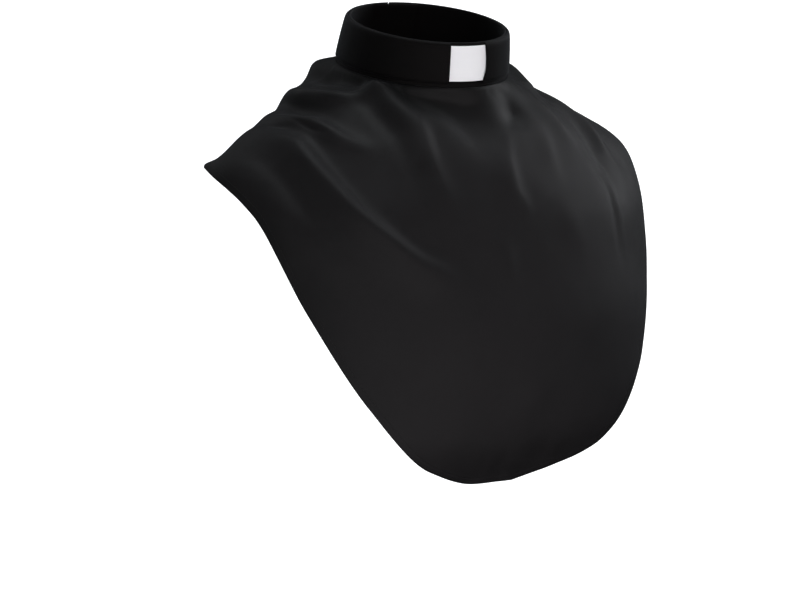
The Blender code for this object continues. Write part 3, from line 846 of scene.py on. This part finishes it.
class Shader:
    """Helper that adds linked nodes to a Principled material."""

    def __init__(self, name, **sockets):
        self.material = bpy.data.materials.new(name)
        self.material.use_nodes = True
        self.tree = self.material.node_tree
        self.surface = self.tree.nodes["Principled BSDF"]
        for socket, value in sockets.items():
            self.surface.inputs[socket.replace("_", " ")].default_value = value

    def node(self, kind, **settings):
        """A new node, whose settings are its attributes or its sockets' values and links."""
        made = self.tree.nodes.new(kind)
        for name, value in settings.items():
            if hasattr(made, name):
                setattr(made, name, value)
                continue
            key = int(name[1:]) if name[0] == "i" and name[1:].isdigit() else name.replace("_", " ")
            self.feed(made.inputs[key], value)
        return made

    def feed(self, socket, value):
        """Set a socket, or link it when the value is another node's output."""
        if isinstance(value, bpy.types.NodeSocket):
            self.tree.links.new(value, socket)
        else:
            socket.default_value = value

    def solid(self):
        """Coordinates of the object itself."""
        return self.node("ShaderNodeTexCoord").outputs["Object"]

    def math(self, operation, first, second=0.0):
        """A Math node's output."""
        return self.node("ShaderNodeMath", operation=operation, i0=first, i1=second).outputs[0]

    def cloud(self, place, scale, detail, roughness):
        """A Noise texture's value."""
        made = self.node("ShaderNodeTexNoise", Vector=place, Scale=scale, Detail=detail,
                         Roughness=roughness)
        return made.outputs["Fac"]

    def ramp(self, value, low, high, start, end):
        """A value mapped from low..high to start..end."""
        made = self.node("ShaderNodeMapRange", Value=value, From_Min=low, From_Max=high,
                         To_Min=start, To_Max=end)
        return made.outputs["Result"]

    def tint(self, factor, dark, light):
        """A colour between dark and light."""
        made = self.node("ShaderNodeMix", data_type="RGBA")
        self.feed(made.inputs["Factor"], factor)
        made.inputs[MIX_DARK].default_value = (*dark, 1.0)
        made.inputs[MIX_LIGHT].default_value = (*light, 1.0)
        return made.outputs[MIX_RESULT]

    def bump(self, strength, distance, height):
        """Raise the surface's grain by a height, over a distance in metres."""
        made = self.node("ShaderNodeBump", Strength=strength, Distance=distance, Height=height)
        self.feed(self.surface.inputs["Normal"], made.outputs["Normal"])


def cloth_material(name, pitch, colours, roughness, sheen, gloss, paint_shade=False):
    """Woven cloth: crossed threads, cloudy tone and fuzz, with painted shade at the seam and the pressed
    hem's edge.
    """
    made = Shader(name, Metallic=0.0, Sheen_Weight=sheen, Sheen_Roughness=0.45, Sheen_Tint=SHEEN_COLOUR,
                  Specular_IOR_Level=gloss)
    place = made.node("ShaderNodeUVMap", uv_map="cloth").outputs["UV"]

    def threads(direction):
        wave = made.node("ShaderNodeTexWave", wave_type="BANDS", bands_direction=direction,
                         Vector=place, Scale=WAVE_PERIOD / pitch, Distortion=0.4, Detail=1.0,
                         Detail_Scale=0.6)
        return made.math("SUBTRACT", wave.outputs["Fac"], 0.5)

    weave = made.math("MULTIPLY", threads("X"), threads("Y"))
    slub = made.cloud(place, scale=900.0, detail=3.0, roughness=0.6)
    cloud = made.cloud(made.solid(), scale=22.0, detail=3.0, roughness=0.55)
    tone = made.math("ADD", made.math("MULTIPLY", cloud, CLOUD_SHARE),
                     made.math("MULTIPLY", slub, SLUB_SHARE))
    tone = made.math("ADD", tone, made.math("MULTIPLY", weave, WEAVE_SHARE))
    colour = made.tint(made.ramp(tone, *TONE_RANGE, 0.0, 1.0), *colours)
    if paint_shade:
        # Painted shade: the colour darkens near the seam, for the shadow under the collar and the left-out
        # head, and at the hem's edge
        from_seam = made.node("ShaderNodeAttribute", attribute_name="from_seam").outputs["Fac"]
        from_hem = made.node("ShaderNodeAttribute", attribute_name="from_hem").outputs["Fac"]
        depth = made.math("MULTIPLY", made.ramp(from_seam, *SEAM_SHADE), made.ramp(from_hem, *EDGE_SHADE))
        colour = made.node("ShaderNodeVectorMath", operation="SCALE", i0=colour, Scale=depth).outputs[0]
    made.feed(made.surface.inputs["Base Color"], colour)
    made.feed(made.surface.inputs["Roughness"],
              made.ramp(cloud, *CLOUD_RANGE, roughness - ROUGHNESS_SPREAD, roughness + ROUGHNESS_SPREAD))
    grain = made.math("ADD", weave, made.math("MULTIPLY", slub, SLUB_GRAIN))
    made.bump(strength=0.35, distance=0.00012, height=grain)
    return made.material


def tab_material():
    """Smooth white plastic with faint haze."""
    made = Shader("tab_white", Metallic=0.0, Specular_IOR_Level=0.4)
    haze = made.cloud(made.solid(), scale=160.0, detail=4.0, roughness=0.5)
    made.feed(made.surface.inputs["Base Color"], made.tint(haze, *TAB_COLOURS))
    made.feed(made.surface.inputs["Roughness"], made.ramp(haze, *CLOUD_RANGE, *TAB_ROUGHNESS))
    made.bump(strength=0.1, distance=0.0001, height=haze)
    return made.material


def thread_material():
    """Black sewing thread with a twist."""
    made = Shader("hem_thread", Metallic=0.0, Roughness=0.55, Specular_IOR_Level=0.2)
    twist = made.node("ShaderNodeTexWave", wave_type="BANDS", bands_direction="DIAGONAL",
                      Vector=made.solid(), Scale=900.0, Distortion=1.0).outputs["Fac"]
    made.feed(made.surface.inputs["Base Color"], made.tint(twist, *THREAD_COLOURS))
    made.bump(strength=0.4, distance=0.00005, height=twist)
    return made.material


def pile_material():
    """Black hook-and-loop pile."""
    made = Shader("fastener_black", Metallic=0.0, Sheen_Weight=0.2, Specular_IOR_Level=0.2,
                  Roughness=0.85)
    loops = made.node("ShaderNodeTexVoronoi", Vector=made.solid(), Scale=1400.0).outputs["Distance"]
    made.feed(made.surface.inputs["Base Color"], made.tint(loops, *PILE_COLOURS))
    made.bump(strength=0.8, distance=0.0004, height=loops)
    return made.material


def make_floor():
    """A pale matt floor with a little light of its own, which only the camera sees."""
    finish = Shader("studio_floor", Metallic=0.0, Roughness=0.9, Specular_IOR_Level=0.1,
                    Base_Color=(0.9, 0.9, 0.9, 1.0), Emission_Color=WHITE, Emission_Strength=0.75)
    corners = [(x * FLOOR_HALF, y * FLOOR_HALF, FLOOR_LEVEL) for x, y in ((-1, -1), (1, -1), (1, 1), (-1, 1))]
    mesh = bpy.data.meshes.new("floor")
    mesh.from_pydata(corners, [], [(0, 1, 2, 3)])
    mesh.materials.append(finish.material)
    floor = bpy.data.objects.new("floor", mesh)
    bpy.context.scene.collection.objects.link(floor)
    floor.visible_diffuse = False
    floor.visible_glossy = False


def make_studio():
    """Floor, a white world that only the camera sees, and five soft lights."""
    make_floor()
    world = bpy.data.worlds.new("studio")
    world.use_nodes = True
    bpy.context.scene.world = world
    world.node_tree.nodes["Background"].inputs["Color"].default_value = WHITE
    world.cycles_visibility.diffuse = False
    world.cycles_visibility.glossy = False
    for name, strength, spread, towards, colour in LIGHTS:
        data = bpy.data.lights.new(name, "SUN")
        data.energy = strength
        data.angle = math.radians(spread)
        data.color = colour
        light = bpy.data.objects.new(name, data)
        light.rotation_mode = "QUATERNION"
        light.rotation_quaternion = Vector(towards).to_track_quat("Z", "Y")
        bpy.context.scene.collection.objects.link(light)


def make_camera():
    """The camera at the photograph's viewing angle."""
    data = bpy.data.cameras.new("camera")
    data.sensor_width = 36.0
    data.lens = CAMERA_LENS
    data.clip_start = 0.05
    data.clip_end = 400.0
    camera = bpy.data.objects.new("camera", data)
    camera.location = CAMERA_PLACE
    camera.rotation_euler = (math.radians(CAMERA_TILT), 0.0, math.radians(CAMERA_TURN))
    bpy.context.scene.collection.objects.link(camera)
    bpy.context.scene.camera = camera


def main():
    """Build the dressed collar and its studio."""
    make_camera()
    make_studio()
    bpy.context.scene.view_settings.view_transform = "Standard"
    cape_cloth = cloth_material("cape_cloth", CAPE_PITCH, CAPE_COLOURS, roughness=0.54, sheen=0.03,
                                gloss=0.11, paint_shade=True)
    # The collar cloth's dark colours are partly painted shade of the left-out head
    collar_cloth = cloth_material("collar_cloth", COLLAR_PITCH, COLLAR_COLOURS, roughness=0.62,
                                  sheen=0.05, gloss=0.06)
    cape, outer, normals = make_cape(cape_cloth)
    stitches = make_stitches(outer, normals, thread_material())
    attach(stitches, "root")
    band = make_neckband(collar_cloth)
    leaf_right = make_leaf("leaf_right_cloth", collar_cloth, window_right, BACK_SPLIT - 180.0)
    leaf_left = make_leaf("leaf_left_cloth", collar_cloth, window_left, 180.0 - BACK_SPLIT)
    for piece, node, slot in (
        (cape, "cape", "cape_cloth"),
        (band, "neckband", "collar_cloth"),
        (leaf_right, "collar_leaf_right", "collar_cloth"),
        (leaf_left, "collar_leaf_left", "collar_cloth"),
        (make_tab(tab_material()), "tab_insert", "tab_white"),
        (make_fastener(pile_material()), "back_fastener", "fastener_black"),
    ):
        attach(piece, "root")
        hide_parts(node)


main()
